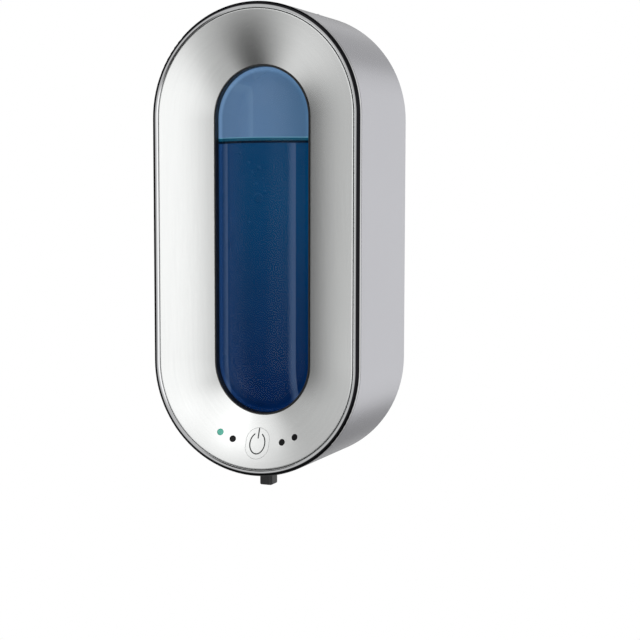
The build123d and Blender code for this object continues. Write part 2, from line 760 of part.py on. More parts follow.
with BuildPart() as infrared_pair:
    for sensor_x in (-3.4, 3.4):
        with Locations((sensor_x, SENSOR_Y, -135.7)):
            Cylinder(1.5, 3.4, align=(Align.CENTER, Align.CENTER, Align.MIN))
        with Locations((sensor_x, SENSOR_Y, -132.3)):
            Cylinder(1.9, 0.8, align=(Align.CENTER, Align.CENTER, Align.MIN))
save(infrared_pair, "infrared_pair")

with BuildPart() as sensor_board:
    with Locations((0, SENSOR_Y, -131.5)):
        Box(16, 9, 1.2, align=(Align.CENTER, Align.CENTER, Align.MIN))
save(sensor_board, "sensor_board")

# ---- outlet nozzle with its check valve ----------------------------------------
SOCKET_Z = -136.4
SOCKET_TOP_Z = -126.0
SOCKET_R = 5.35
CHAMBER_R = 3.3
CHAMBER_FLOOR_Z = -136.0
BALL_R = 2.4
SEAT_Z = -128.0
with BuildPart() as nozzle:
    with BuildSketch(Plane.XY.offset(NOZZLE_TIP_Z)):
        with Locations((0, NOZZLE_Y)):
            RectangleRounded(NOZZLE_WIDTH, NOZZLE_DEPTH, 1.6)
    extrude(amount=SOCKET_Z - NOZZLE_TIP_Z)
    chamfer(nozzle.edges().group_by(Axis.Z)[0], 0.5)
    with BuildSketch(Plane.XY.offset(SOCKET_Z)):
        with Locations((0, NOZZLE_Y)):
            Circle(SOCKET_R)
    extrude(amount=SOCKET_TOP_Z - SOCKET_Z)
    with BuildSketch(Plane.XY.offset(CHAMBER_FLOOR_Z)):
        with Locations((0, NOZZLE_Y)):
            Circle(CHAMBER_R)
    extrude(amount=SOCKET_TOP_Z - CHAMBER_FLOOR_Z, mode=Mode.SUBTRACT)
    with BuildSketch(Plane.XY.offset(NOZZLE_TIP_Z)):
        with Locations((0, NOZZLE_Y)):
            Circle(1.6)
    extrude(amount=14, mode=Mode.SUBTRACT)
save(nozzle, "nozzle")

with BuildPart() as nozzle_gasket:
    with BuildSketch(Plane.XY.offset(-137.05)):
        with Locations((0, NOZZLE_Y)):
            Circle(SOCKET_R)
            RectangleRounded(NOZZLE_WIDTH + 0.1, NOZZLE_DEPTH + 0.1, 1.65, mode=Mode.SUBTRACT)
    extrude(amount=0.65)
save(nozzle_gasket, "nozzle_gasket")

BARB_R = 2.0
ELBOW_Z = -120.5
with BuildPart() as valve_seat:
    with BuildSketch(Plane.XY.offset(SOCKET_TOP_Z)):
        with Locations((0, NOZZLE_Y)):
            Circle(SOCKET_R)
    extrude(amount=1.6)
    with BuildSketch(Plane.XY.offset(SEAT_Z)):
        with Locations((0, NOZZLE_Y)):
            Circle(CHAMBER_R)
    extrude(amount=ELBOW_Z + 3.0 - SEAT_Z)
    with BuildSketch(facing_side(-9.5, NOZZLE_Y, ELBOW_Z)):
        Circle(BARB_R)
    extrude(amount=9.5)
    with BuildSketch(Plane.XY.offset(SEAT_Z)):
        with Locations((0, NOZZLE_Y)):
            Circle(1.3)
    extrude(amount=ELBOW_Z + 1.3 - SEAT_Z, mode=Mode.SUBTRACT)
    with BuildSketch(facing_side(-12, NOZZLE_Y, ELBOW_Z)):
        Circle(1.3)
    extrude(amount=12, mode=Mode.SUBTRACT)
save(valve_seat, "valve_seat")

seat_drop = sqrt(BALL_R**2 - 1.3**2)
BALL_Z = SEAT_Z - seat_drop - 0.05
with BuildPart() as check_ball:
    with Locations((0, NOZZLE_Y, BALL_Z)):
        Sphere(BALL_R)
save(check_ball, "check_ball")

SPRING_WIRE_R = 0.2
spring_top_z = BALL_Z - 1.55
with BuildPart() as check_spring:
    spring_height = spring_top_z - CHAMBER_FLOOR_Z - 2 * SPRING_WIRE_R
    with Locations((0, NOZZLE_Y, CHAMBER_FLOOR_Z + SPRING_WIRE_R)):
        add(coil(2.2, SPRING_WIRE_R, spring_height, 4))
save(check_spring, "check_spring")

# ---- battery bay ---------------------------------------------------------------
BOX_WALL = 1.2
BOX_HALF_X = 31.4
BOX_HALF_Y = 8.9
BOX_BOTTOM_Z = -127.8
BOX_TOP_Z = -73.0
with BuildPart() as battery_box:
    with Locations((0, CELL_Y, BOX_BOTTOM_Z)):
        Box(
            2 * BOX_HALF_X,
            2 * BOX_HALF_Y,
            BOX_TOP_Z - BOX_BOTTOM_Z,
            align=(Align.CENTER, Align.CENTER, Align.MIN),
        )
    with Locations((0, CELL_Y, BOX_BOTTOM_Z)):
        Box(
            2 * (BOX_HALF_X - BOX_WALL),
            2 * (BOX_HALF_Y - BOX_WALL),
            BOX_TOP_Z - BOX_WALL - BOX_BOTTOM_Z,
            align=(Align.CENTER, Align.CENTER, Align.MIN),
            mode=Mode.SUBTRACT,
        )
save(battery_box, "battery_box")

with BuildPart() as batteries:
    for place, cell_x in enumerate(CELL_X):
        flipped = place % 2
        body_bottom = CELL_BOTTOM_Z + (1.0 if flipped else 0.0)
        tip_z = CELL_BOTTOM_Z if flipped else CELL_BOTTOM_Z + CELL_LENGTH - 1.0
        with Locations((cell_x, CELL_Y, body_bottom)):
            Cylinder(CELL_R, CELL_LENGTH - 1.0, align=(Align.CENTER, Align.CENTER, Align.MIN))
        with Locations((cell_x, CELL_Y, tip_z)):
            Cylinder(2.7, 1.0, align=(Align.CENTER, Align.CENTER, Align.MIN))
save(batteries, "batteries")

CONTACT_Z = CELL_BOTTOM_Z + CELL_LENGTH + 0.1
with BuildPart() as battery_contacts:
    for cell_x in CELL_X:
        with Locations((cell_x, CELL_Y, CONTACT_Z)):
            Box(10, 10, 0.5, align=(Align.CENTER, Align.CENTER, Align.MIN))
save(battery_contacts, "battery_contacts")

with BuildPart() as door_contacts:
    for pair_x in (-CELL_PITCH, CELL_PITCH):
        with Locations((pair_x, CELL_Y, -128.6)):
            Box(26, 8, 0.5, align=(Align.CENTER, Align.CENTER, Align.MIN))
        for end in (-1, 1):
            with Locations((pair_x + end * CELL_PITCH / 2, CELL_Y, -128.1)):
                Cylinder(2.6, 1.3, align=(Align.CENTER, Align.CENTER, Align.MIN))
save(door_contacts, "door_contacts")

# ---- motor and gear pump -------------------------------------------------------
CAN_LEFT_X = -33.0
CAN_RIGHT_X = -9.0
CAN_R = 10.0
CAN_T = 0.8
with BuildPart() as motor_can:
    with BuildSketch(facing_side(CAN_LEFT_X)):
        Circle(CAN_R)
    extrude(amount=CAN_RIGHT_X - CAN_LEFT_X)
    fillet(motor_can.edges().group_by(Axis.X)[-1], 1.0)
    with BuildSketch(facing_side(CAN_LEFT_X)):
        Circle(CAN_R - CAN_T)
    extrude(amount=CAN_RIGHT_X - CAN_LEFT_X - CAN_T, mode=Mode.SUBTRACT)
    with BuildSketch(facing_side(CAN_LEFT_X)):
        Circle(SHAFT_R + 0.06)
    extrude(amount=30, mode=Mode.SUBTRACT)
save(motor_can, "motor_can")

with BuildPart() as motor_end_cap:
    with BuildSketch(facing_side(CAN_LEFT_X - 2.6)):
        Circle(CAN_R)
    extrude(amount=2.6)
    with BuildSketch(facing_side(CAN_LEFT_X)):
        Circle(CAN_R - CAN_T - 0.05)
    extrude(amount=1.6)
    with BuildSketch(facing_side(CAN_LEFT_X - 3)):
        Circle(SHAFT_R + 0.06)
    extrude(amount=6, mode=Mode.SUBTRACT)
save(motor_end_cap, "motor_end_cap")

with BuildPart() as motor_magnets:
    with BuildSketch(facing_side(-29)):
        Circle(CAN_R - CAN_T - 0.02)
        Circle(7.5, mode=Mode.SUBTRACT)
        Rectangle(24, 5, mode=Mode.SUBTRACT)
    extrude(amount=17)
save(motor_magnets, "motor_magnets")

with BuildPart() as armature:
    with BuildSketch(facing_side(-28)):
        Circle(7.0)
        Circle(SHAFT_R, mode=Mode.SUBTRACT)
        with PolarLocations(5.2, 3):
            Circle(2.0, mode=Mode.SUBTRACT)
            with Locations((1.8, 0)):
                Rectangle(2.6, 1.2, mode=Mode.SUBTRACT)
    extrude(amount=15)
save(armature, "armature")

GEAR_LEFT_X = -4.0
PUMP_LEFT_X = -8.4
COVER_X = GEAR_LEFT_X + GEAR_LENGTH + 0.1
COVER_T = 3.0
with BuildPart() as motor_shaft:
    with BuildSketch(facing_side(CAN_LEFT_X - 1.6)):
        Circle(SHAFT_R)
    extrude(amount=COVER_X - 0.3 - CAN_LEFT_X + 1.6)
save(motor_shaft, "motor_shaft")

with BuildPart() as drive_gear:
    with Locations(facing_side(GEAR_LEFT_X) * Rot(0, 0, 90)):
        add(gear_blank(GEAR_TEETH, GEAR_MODULE, SHAFT_R, GEAR_LENGTH))
save(drive_gear, "drive_gear")

IDLER_PIN_R = 1.25
with BuildPart() as idler_gear:
    half_tooth_turn = 180 / GEAR_TEETH
    with Locations(facing_side(GEAR_LEFT_X, z=IDLER_Z) * Rot(0, 0, 90 + half_tooth_turn)):
        add(gear_blank(GEAR_TEETH, GEAR_MODULE, IDLER_PIN_R + 0.06, GEAR_LENGTH))
save(idler_gear, "idler_gear")

with BuildPart() as idler_pin:
    with BuildSketch(facing_side(GEAR_LEFT_X - 2, z=IDLER_Z)):
        Circle(IDLER_PIN_R)
    extrude(amount=COVER_X - GEAR_LEFT_X + 2)
save(idler_pin, "idler_pin")

PORT_Y = 5.4
PORT_R = 1.3
PUMP_SCREWS = [(y, z) for y in (-7.6, 7.6) for z in (-5.6, 14.0)]
PUMP_BOTTOM_Z = MOTOR_Z - 8.5
with BuildPart() as pump_body:
    with BuildSketch(facing_side(PUMP_LEFT_X)):
        with Locations((0, GEAR_PITCH_R)):
            RectangleRounded(19.6, 25.4, 2)
    extrude(amount=COVER_X - PUMP_LEFT_X)
    with BuildSketch(facing_side(GEAR_LEFT_X - 0.1)):
        Circle(GEAR_TIP_R + 0.12)
        with Locations((0, 2 * GEAR_PITCH_R)):
            Circle(GEAR_TIP_R + 0.12)
        with Locations((0, GEAR_PITCH_R)):
            Rectangle(2 * PORT_Y + 2 * PORT_R, 3.0)
    extrude(amount=COVER_X - GEAR_LEFT_X + 0.2, mode=Mode.SUBTRACT)
    with BuildSketch(facing_side(PUMP_LEFT_X - 1)):
        Circle(SHAFT_R + 0.06)
    extrude(amount=6, mode=Mode.SUBTRACT)
    with BuildSketch(facing_side(GEAR_LEFT_X - 2, z=IDLER_Z)):
        Circle(IDLER_PIN_R)
    extrude(amount=4, mode=Mode.SUBTRACT)
    with BuildSketch(facing_side(COVER_X + 1)):
        with Locations(*PUMP_SCREWS):
            Circle(0.95)
    extrude(amount=-9, mode=Mode.SUBTRACT)
    with BuildSketch(Plane.XY.offset(PUMP_BOTTOM_Z - 6)):
        with Locations((0, MOTOR_Y + PORT_Y)):
            Circle(BARB_R)
    extrude(amount=8)
    with BuildSketch(Plane.XY.offset(PUMP_BOTTOM_Z - 7)):
        with Locations((0, MOTOR_Y + PORT_Y)):
            Circle(PORT_R)
    extrude(amount=MESH_Z - PUMP_BOTTOM_Z + 7, mode=Mode.SUBTRACT)
save(pump_body, "pump_body")

with BuildPart() as pump_cover:
    with BuildSketch(facing_side(COVER_X + 0.02)):
        with Locations((0, GEAR_PITCH_R)):
            RectangleRounded(19.6, 25.4, 2)
    extrude(amount=COVER_T)
    with BuildSketch(facing_side(COVER_X + COVER_T)):
        with Locations((-PORT_Y, GEAR_PITCH_R)):
            Circle(BARB_R)
    extrude(amount=6.5)
    with BuildSketch(facing_side(COVER_X)):
        with Locations((-PORT_Y, GEAR_PITCH_R)):
            Circle(PORT_R)
    extrude(amount=12, mode=Mode.SUBTRACT)
    with BuildSketch(facing_side(COVER_X)):
        with Locations(*PUMP_SCREWS):
            Circle(1.1)
    extrude(amount=6, mode=Mode.SUBTRACT)
save(pump_cover, "pump_cover")

with BuildPart() as pump_screws:
    with Locations(facing_side(COVER_X + COVER_T + 0.02)):
        with Locations(*PUMP_SCREWS):
            add(pan_screw(1.9, 1.3, 0.9, 9.0))
save(pump_screws, "pump_screws")

with BuildPart() as motor_clamp:
    with BuildSketch(facing_side(-25)):
        with Locations((0, 0)):
            Rectangle(22.0, 29)
        Circle(CAN_R + 0.02, mode=Mode.SUBTRACT)
        with Locations((-11.4, 0)):
            Rectangle(4, 40, mode=Mode.SUBTRACT)
    extrude(amount=8)
    with Locations((0, COVER_FRONT_Y + 10, MOTOR_Z)):
        Box(100, 20, 60, mode=Mode.SUBTRACT)
save(motor_clamp, "motor_clamp")

# ---- hoses and leads -----------------------------------------------------------
HOSE_R = 3.0
with BuildPart() as outlet_fitting:
    with Locations((OUTLET[0], OUTLET[1], -110.0)):
        Cylinder(4.0, 2.0, align=(Align.CENTER, Align.CENTER, Align.MAX))
    with Locations((OUTLET[0], OUTLET[1], -104.0)):
        Cylinder(BARB_R, 11.5, align=(Align.CENTER, Align.CENTER, Align.MAX))
        Cylinder(1.2, 30, mode=Mode.SUBTRACT)
save(outlet_fitting, "outlet_fitting")

suction_route = [
    (OUTLET[0], OUTLET[1], -112.1),
    (14, -45, -121),
    (24, -45, -117),
    (37, -45, -104),
    (46, -44, -86),
    (48, -38, -66),
    (46, -30, -48),
    (32, MOTOR_Y - PORT_Y, -36.5),
    (19, MOTOR_Y - PORT_Y, MESH_Z),
    (COVER_X + COVER_T + 0.1, MOTOR_Y - PORT_Y, MESH_Z),
]
with BuildPart() as suction_hose:
    add(tube_along(suction_route, HOSE_R, BARB_R))
save(suction_hose, "suction_hose")

pressure_route = [
    (0, MOTOR_Y + PORT_Y, PUMP_BOTTOM_Z - 0.1),
    (0, MOTOR_Y + PORT_Y, -59),
    (-14, -17, -63),
    (-32, -22, -62),
    (-45, -30, -69),
    (-48, -42, -85),
    (-40, -52, -102),
    (-27, NOZZLE_Y + 1, -116),
    (-15, NOZZLE_Y, ELBOW_Z),
    (-3.6, NOZZLE_Y, ELBOW_Z),
]
with BuildPart() as pressure_hose:
    add(tube_along(pressure_route, HOSE_R, BARB_R))
save(pressure_hose, "pressure_hose")

LEAD_R = 0.7
LEAD_GAP = 1.8
BOARD_BACK_Y = BOARD_FRONT_Y + BOARD_T
motor_lead_route = [
    (CAN_LEFT_X - 2.9, -15.4, MOTOR_Z),
    (-41, -15.4, MOTOR_Z + 1),
    (-42, -15.4, -26),
    (-36, -15.4, -17),
    (-24, -15.4, -13),
    (-8, -15.4, -12),
    (10, -15.4, -13),
    (26, -15.4, -18),
    (36, -15.4, -29),
    (40, -15.4, -46),
    (40, -16, -66),
    (38, -18, -86),
    (37, -23, -102),
    (35, -32, -112),
    (31, -42, -117.5),
    (25, -51, -119),
    (20, -59, -119.5),
    (18, BOARD_BACK_Y + 0.2, -119.5),
]


def beside(place, point):
    """Point of the second lead: behind the first one, and below it past the battery box."""
    turn = radians(min(90, max(0, 30 * (place - 11))))
    return (point[0], point[1] + LEAD_GAP * cos(turn), point[2] - LEAD_GAP * sin(turn))


with BuildPart() as motor_leads:
    add(tube_along(motor_lead_route, LEAD_R))
    second_route = [beside(place, point) for place, point in enumerate(motor_lead_route[:-1])]
    second_route.append((18, BOARD_BACK_Y + 0.2, -119.5 - LEAD_GAP))
    add(tube_along(second_route, LEAD_R))
save(motor_leads, "motor_leads")

battery_lead_route = [
    (BOX_HALF_X + 0.4, -18.4, -113),
    (35.4, -20.0, -115.0),
    (35, -28, -119.5),
    (31, -38, -122.5),
    (26, -49, -123),
    (23, -58, -123),
    (22, BOARD_BACK_Y + 0.2, -122.4),
]
with BuildPart() as battery_leads:
    for drop in (0, LEAD_GAP):
        add(tube_along([(x, y, z - drop) for x, y, z in battery_lead_route], LEAD_R))
save(battery_leads, "battery_leads")

# ---- back cover ----------------------------------------------------------------
with BuildPart() as back_cover:
    with BuildSketch(facing_back(COVER_FRONT_Y)):
        SlotOverall(2 * (ARC_Z + 64.3), 2 * 64.3, rotation=90)
    extrude(amount=COVER_BACK_Y - COVER_FRONT_Y)
    slot_height = 3.0 + LIFT_OFF + 0.7
    for hook_z in HOOK_Z:
        for hook_x in (-HOOK_X, HOOK_X):
            with Locations((hook_x, COVER_FRONT_Y, hook_z + 0.3 - slot_height / 2)):
                Box(HOOK_WIDTH + 1.4, 12, slot_height, mode=Mode.SUBTRACT)
    with BuildSketch(facing_back(COVER_BACK_Y + 1)):
        with Locations(*POSTS):
            Circle(1.7)
    extrude(amount=-6, mode=Mode.SUBTRACT)
    with BuildSketch(facing_back(COVER_BACK_Y)):
        with Locations(*POSTS):
            Circle(3.0)
    extrude(amount=-1.0, mode=Mode.SUBTRACT)
    with Locations((0, HINGE_Y, HINGE_Z), (0, HINGE_Y, -HINGE_Z)):
        Box(26, 6, 6, mode=Mode.SUBTRACT)
save(back_cover, "back_cover")

with BuildPart() as back_cover_screws:
    with Locations(facing_back(COVER_BACK_Y - 1.0)):
        with Locations(*POSTS):
            add(pan_screw(2.8, 1.6, 1.45, 14.0))
save(back_cover_screws, "back_cover_screws")
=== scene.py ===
import json
from math import cos, radians

import bmesh
import bpy
from mathutils import Matrix, Vector


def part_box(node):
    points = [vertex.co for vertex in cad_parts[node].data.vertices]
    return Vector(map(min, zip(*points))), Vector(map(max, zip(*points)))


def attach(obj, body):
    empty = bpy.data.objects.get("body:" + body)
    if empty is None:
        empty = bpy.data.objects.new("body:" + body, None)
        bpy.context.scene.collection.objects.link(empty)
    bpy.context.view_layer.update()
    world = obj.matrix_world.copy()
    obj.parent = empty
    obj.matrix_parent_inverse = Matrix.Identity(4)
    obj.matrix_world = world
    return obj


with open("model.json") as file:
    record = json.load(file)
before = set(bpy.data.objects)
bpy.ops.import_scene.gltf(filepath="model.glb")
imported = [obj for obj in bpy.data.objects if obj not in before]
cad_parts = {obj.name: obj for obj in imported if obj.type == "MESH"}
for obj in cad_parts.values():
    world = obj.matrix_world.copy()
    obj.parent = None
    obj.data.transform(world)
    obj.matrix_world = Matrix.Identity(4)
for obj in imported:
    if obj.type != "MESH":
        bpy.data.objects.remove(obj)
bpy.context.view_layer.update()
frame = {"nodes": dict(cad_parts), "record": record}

MM = 0.001
nodes = frame["nodes"]

# ---- sizes read from the frame ------------------------------------------------
shell_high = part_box("side_shell")[1]
OUTER_R = shell_high.x
ARC_Z = shell_high.z - OUTER_R
FRONT_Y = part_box("trim_ring")[0].y
bezel_low, bezel_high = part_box("front_bezel")
soap_low, soap_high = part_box("liquid_soap")
SOAP_Z = soap_high.z

# half the width of the soap's view, inside the border of the seal
SEAL_BORDER = 6 * MM
WINDOW_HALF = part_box("window_seal")[1].x - SEAL_BORDER

# lines of painted shade and highlight under the surface of the soap, at its meniscus: how far down
# each reaches, and its colour
SURFACE_LINES = [
    (3.8 * MM, (0.0005, 0.005, 0.014)),
    (2.3 * MM, (0.006, 0.060, 0.105)),
    (0.7 * MM, (0.110, 0.260, 0.360)),
]

# soft edges of the surface lines and of the surface itself
LINE_EDGE = 0.3 * MM
SURFACE_EDGE = 0.1 * MM

# the dished face: a flat lip, then a straight slope down to the window
LIP_Y = bezel_low.y
LIP_WIDTH = 0.7 * MM
LIP_R = bezel_high.x - LIP_WIDTH
DISH_DEPTH = 12 * MM
DISH_RUN = 31 * MM
DISH_SLOPE = (FRONT_Y + DISH_DEPTH - LIP_Y) / DISH_RUN

# hollow that shading gives the slope, about the radius of its middle
DISH_HOLLOW = -0.7 * MM
DISH_MIDDLE_R = 47 * MM
DISH_HALF_RUN = 15.5 * MM

# how deep under the dished face the fill of an engraved mark begins and is full
MARK_BEGINS = 0.02 * MM
MARK_FULL = 0.12 * MM

# painted dark reflection on the rounded outer edge of the trim ring: how far it reaches inward from
# the outline, and back from the front
DARK_REFLECTION_INWARD = (2.3 * MM, 1.8 * MM)
DARK_REFLECTION_BACK = (1.0 * MM, 1.6 * MM)

# rim of the pane by radius: where its painted glow rises, and where its edge dims it
RIM_RISES = (26.6 * MM, 28.4 * MM)
RIM_DIMS = (29.7 * MM, 30.2 * MM)

# side positions of the two pale streaks of painted highlight, and the extent of a streak's two flanks
STREAK_LEFT = -25.2 * MM
STREAK_RIGHT = 19.5 * MM
STREAK_RISE = (-3.2 * MM, 0.6 * MM)
STREAK_FALL = (1.6 * MM, 2.2 * MM)

# side position where the paler left part of the soap ends
PALE_SIDE_END = -6 * MM

# bands of a battery's sleeve: down from its top, and in from either end
SLEEVE_SPLIT = (17.2 * MM, 17.0 * MM)
BARE_END = (1.2 * MM, 1.4 * MM)

# crown of the soap's front: how far it stands out at the middle, past the view's edge
CROWN_RISE = 8.95 * MM
CROWN_MARGIN = 3 * MM
BUBBLE_HALF_THICKNESS = 0.11 * MM

# stage in metres, camera angles in degrees
FLOOR_Z = -0.95
FLOOR_HALF = 1.6
CAMERA_PLACE = (0.3606, -0.8487, 0.0285)
CAMERA_TURN = 22.51
CAMERA_DIP = 5.04
CAMERA_ROLL = 0.12
LENS_MM = 80.73
SENSOR_MM = 36.0

# socket numbers of a colour Mix node, whose names repeat
MIX_FIRST = 6
MIX_SECOND = 7
MIX_RESULT = 2


# ---- shader helpers -----------------------------------------------------------
def new_node(tree, kind, **settings):
    """Add a node and set its plain properties."""
    made = tree.nodes.new(kind)
    for name, value in settings.items():
        setattr(made, name, value)
    return made


def feed(tree, socket, value):
    """Give a socket a plain number, or link another socket to it."""
    if isinstance(value, (int, float)):
        socket.default_value = value
    elif isinstance(value, tuple):
        socket.default_value = (*value, 1.0)
    else:
        tree.links.new(value, socket)


def calculate(tree, operation, first, second=None, clamp=False):
    """One Math node. An argument is a socket or a plain number."""
    made = new_node(tree, "ShaderNodeMath", operation=operation, use_clamp=clamp)
    feed(tree, made.inputs[0], first)
    if second is not None:
        feed(tree, made.inputs[1], second)
    return made.outputs[0]


def ramp(tree, value, low, high, to_low=0.0, to_high=1.0):
    """Smooth change from to_low to to_high while value goes from low to high."""
    made = new_node(tree, "ShaderNodeMapRange", interpolation_type="SMOOTHSTEP")
    feed(tree, made.inputs["Value"], value)
    made.inputs["From Min"].default_value = low
    made.inputs["From Max"].default_value = high
    made.inputs["To Min"].default_value = to_low
    made.inputs["To Max"].default_value = to_high
    return made.outputs["Result"]


def blend_colours(tree, mask, first, second):
    """Mix two colours, given as sockets or as tuples, by a mask."""
    made = new_node(tree, "ShaderNodeMix", data_type="RGBA")
    feed(tree, made.inputs["Factor"], mask)
    feed(tree, made.inputs[MIX_FIRST], first)
    feed(tree, made.inputs[MIX_SECOND], second)
    return made.outputs[MIX_RESULT]


def axis_of(tree, letter):
    """One coordinate of the point being shaded, in metres."""
    place = new_node(tree, "ShaderNodeTexCoord").outputs["Object"]
    parts = new_node(tree, "ShaderNodeSeparateXYZ")
    tree.links.new(place, parts.inputs[0])
    return parts.outputs[letter]


def effect_group(name, inputs, outputs):
    """Start a shader node group with named number inputs and outputs."""
    group = bpy.data.node_groups.new(name, "ShaderNodeTree")
    for label, default in inputs:
        socket = group.interface.new_socket(
            label, in_out="INPUT", socket_type="NodeSocketFloat"
        )
        socket.default_value = default
    for label in outputs:
        group.interface.new_socket(label, in_out="OUTPUT", socket_type="NodeSocketFloat")
    taken = new_node(group, "NodeGroupInput")
    given = new_node(group, "NodeGroupOutput")
    return group, taken.outputs, given.inputs


def noise_at(tree, vector, scale, detail, roughness=0.5):
    """Noise value of a vector socket; scale is a number or a socket."""
    made = new_node(tree, "ShaderNodeTexNoise")
    made.inputs["Detail"].default_value = detail
    made.inputs["Roughness"].default_value = roughness
    tree.links.new(vector, made.inputs["Vector"])
    feed(tree, made.inputs["Scale"], scale)
    return made.outputs["Fac"]


def build_moulded_grain():
    """Fine even grain of a moulded or painted skin, with a slow change in gloss."""
    group, taken, given = effect_group(
        "moulded_grain", [("Grain Scale", 2500.0), ("Patch Scale", 25.0)], ["Grain", "Patches"]
    )
    place = new_node(group, "ShaderNodeTexCoord").outputs["Object"]
    group.links.new(noise_at(group, place, taken["Grain Scale"], 3.0), given["Grain"])
    group.links.new(noise_at(group, place, taken["Patch Scale"], 4.0), given["Patches"])
    return group


def racetrack_radius(tree, x, z):
    """Distance of a point from the racetrack's spine."""
    over_arc = calculate(tree, "SUBTRACT", calculate(tree, "ABSOLUTE", z), ARC_Z)
    past = calculate(tree, "MAXIMUM", over_arc, 0.0)
    across = calculate(tree, "MULTIPLY", x, x)
    along = calculate(tree, "MULTIPLY", past, past)
    return calculate(tree, "SQRT", calculate(tree, "ADD", across, along))


# brushing: noise steps per metre outward and per radian round, fine lines and broad streaks
LINES_OUTWARD = 9000.0
LINES_ROUND = 9.0
BROAD_OUTWARD = 700.0
BROAD_ROUND = 2.0


def build_racetrack_brushing():
    """Fine scratches that run round the racetrack, side by side outward."""
    group, taken, given = effect_group(
        "racetrack_brushing", [("Lines per Metre", LINES_OUTWARD)], ["Lines", "Streaks"]
    )
    x = axis_of(group, "X")
    z = axis_of(group, "Z")
    radius = racetrack_radius(group, x, z)
    turn = calculate(group, "ARCTAN2", x, z)
    lines = new_node(group, "ShaderNodeCombineXYZ")
    outward = calculate(group, "MULTIPLY", radius, taken["Lines per Metre"])
    group.links.new(outward, lines.inputs["X"])
    group.links.new(calculate(group, "MULTIPLY", turn, LINES_ROUND), lines.inputs["Y"])
    group.links.new(noise_at(group, lines.outputs[0], 1.0, 4.0, 0.7), given["Lines"])
    streaks = new_node(group, "ShaderNodeCombineXYZ")
    group.links.new(calculate(group, "MULTIPLY", radius, BROAD_OUTWARD), streaks.inputs["X"])
    group.links.new(calculate(group, "MULTIPLY", turn, BROAD_ROUND), streaks.inputs["Y"])
    group.links.new(noise_at(group, streaks.outputs[0], 1.0, 3.0), given["Streaks"])
    return group


def build_settled_dust():
    """A thin film of dust that gathers on faces that look up."""
    group, taken, given = effect_group("settled_dust", [("Amount", 0.2)], ["Mask"])
    facing = new_node(group, "ShaderNodeSeparateXYZ")
    group.links.new(new_node(group, "ShaderNodeNewGeometry").outputs["Normal"], facing.inputs[0])
    place = new_node(group, "ShaderNodeTexCoord").outputs["Object"]
    patches = ramp(group, noise_at(group, place, 120.0, 5.0, 0.65), 0.35, 0.75)
    upward = ramp(group, facing.outputs["Z"], 0.55, 1.0)
    film = calculate(group, "MULTIPLY", patches, upward)
    group.links.new(calculate(group, "MULTIPLY", film, taken["Amount"]), given["Mask"])
    return group


DUST_TONE = (0.55, 0.53, 0.50)
MOULDED_GRAIN = build_moulded_grain()
RACETRACK_BRUSHING = build_racetrack_brushing()
SETTLED_DUST = build_settled_dust()


def place_group(tree, group, **values):
    """Put an effect group in a material with its own values; underscores stand for spaces."""
    made = new_node(tree, "ShaderNodeGroup", node_tree=group)
    for name, value in values.items():
        made.inputs[name.replace("_", " ")].default_value = value
    return made.outputs


def start_material(name, **sockets):
    """A material whose Principled shader has plain values set on its own sockets."""
    material = bpy.data.materials.new(name)
    material.use_nodes = True
    tree = material.node_tree
    shader = tree.nodes["Principled BSDF"]
    for label, value in sockets.items():
        feed(tree, shader.inputs[label.replace("_", " ")], value)
    return material, tree, shader


def add_bump(tree, shader, height, distance, strength=1.0, under=None):
    """Drive the shader's normal from a height, whose full step is distance metres.

    If under is given, it is the normal that this bump is laid on.
    """
    bump = new_node(tree, "ShaderNodeBump")
    bump.inputs["Distance"].default_value = distance
    bump.inputs["Strength"].default_value = strength
    tree.links.new(height, bump.inputs["Height"])
    if under is not None:
        tree.links.new(under, bump.inputs["Normal"])
    tree.links.new(bump.outputs["Normal"], shader.inputs["Normal"])


def moulded(name, colour, second, roughness, grain, depth, dust, **sockets):
    """Moulded, painted or plated skin: grain, gloss patches and a trace of dust."""
    material, tree, shader = start_material(name, **sockets)
    skin = place_group(tree, MOULDED_GRAIN, Grain_Scale=grain, Patch_Scale=40.0)
    film = place_group(tree, SETTLED_DUST, Amount=dust)["Mask"]
    tone = blend_colours(tree, skin["Patches"], colour, second)
    tone = blend_colours(tree, film, tone, DUST_TONE)
    tree.links.new(tone, shader.inputs["Base Color"])
    gloss = ramp(tree, skin["Patches"], 0.3, 0.7, roughness * 0.85, roughness * 1.15)
    tree.links.new(calculate(tree, "ADD", gloss, film), shader.inputs["Roughness"])
    add_bump(tree, shader, skin["Grain"], depth)
    return material


# ---- finishes -----------------------------------------------------------------
def cut_into_dish(tree):
    """1 where a point lies under the dished face, as in the engraved mark, and 0 on the face."""
    radius = racetrack_radius(tree, axis_of(tree, "X"), axis_of(tree, "Z"))
    face = calculate(tree, "MULTIPLY", calculate(tree, "SUBTRACT", LIP_R, radius), DISH_SLOPE)
    under = calculate(tree, "SUBTRACT", axis_of(tree, "Y"), calculate(tree, "ADD", face, LIP_Y))
    return ramp(tree, under, MARK_BEGINS, MARK_FULL)


def hollow_normal(tree):
    """Normal of the dish as if its straight slope were slightly hollow."""
    hollow = new_node(tree, "ShaderNodeBump")
    hollow.inputs["Distance"].default_value = 1.0
    radius = racetrack_radius(tree, axis_of(tree, "X"), axis_of(tree, "Z"))
    past_middle = calculate(tree, "SUBTRACT", radius, DISH_MIDDLE_R)
    off_middle = calculate(tree, "DIVIDE", past_middle, DISH_HALF_RUN)
    parabola = calculate(tree, "MULTIPLY", off_middle, off_middle)
    depth = calculate(tree, "MULTIPLY", parabola, DISH_HOLLOW)
    tree.links.new(depth, hollow.inputs["Height"])
    return hollow.outputs["Normal"]


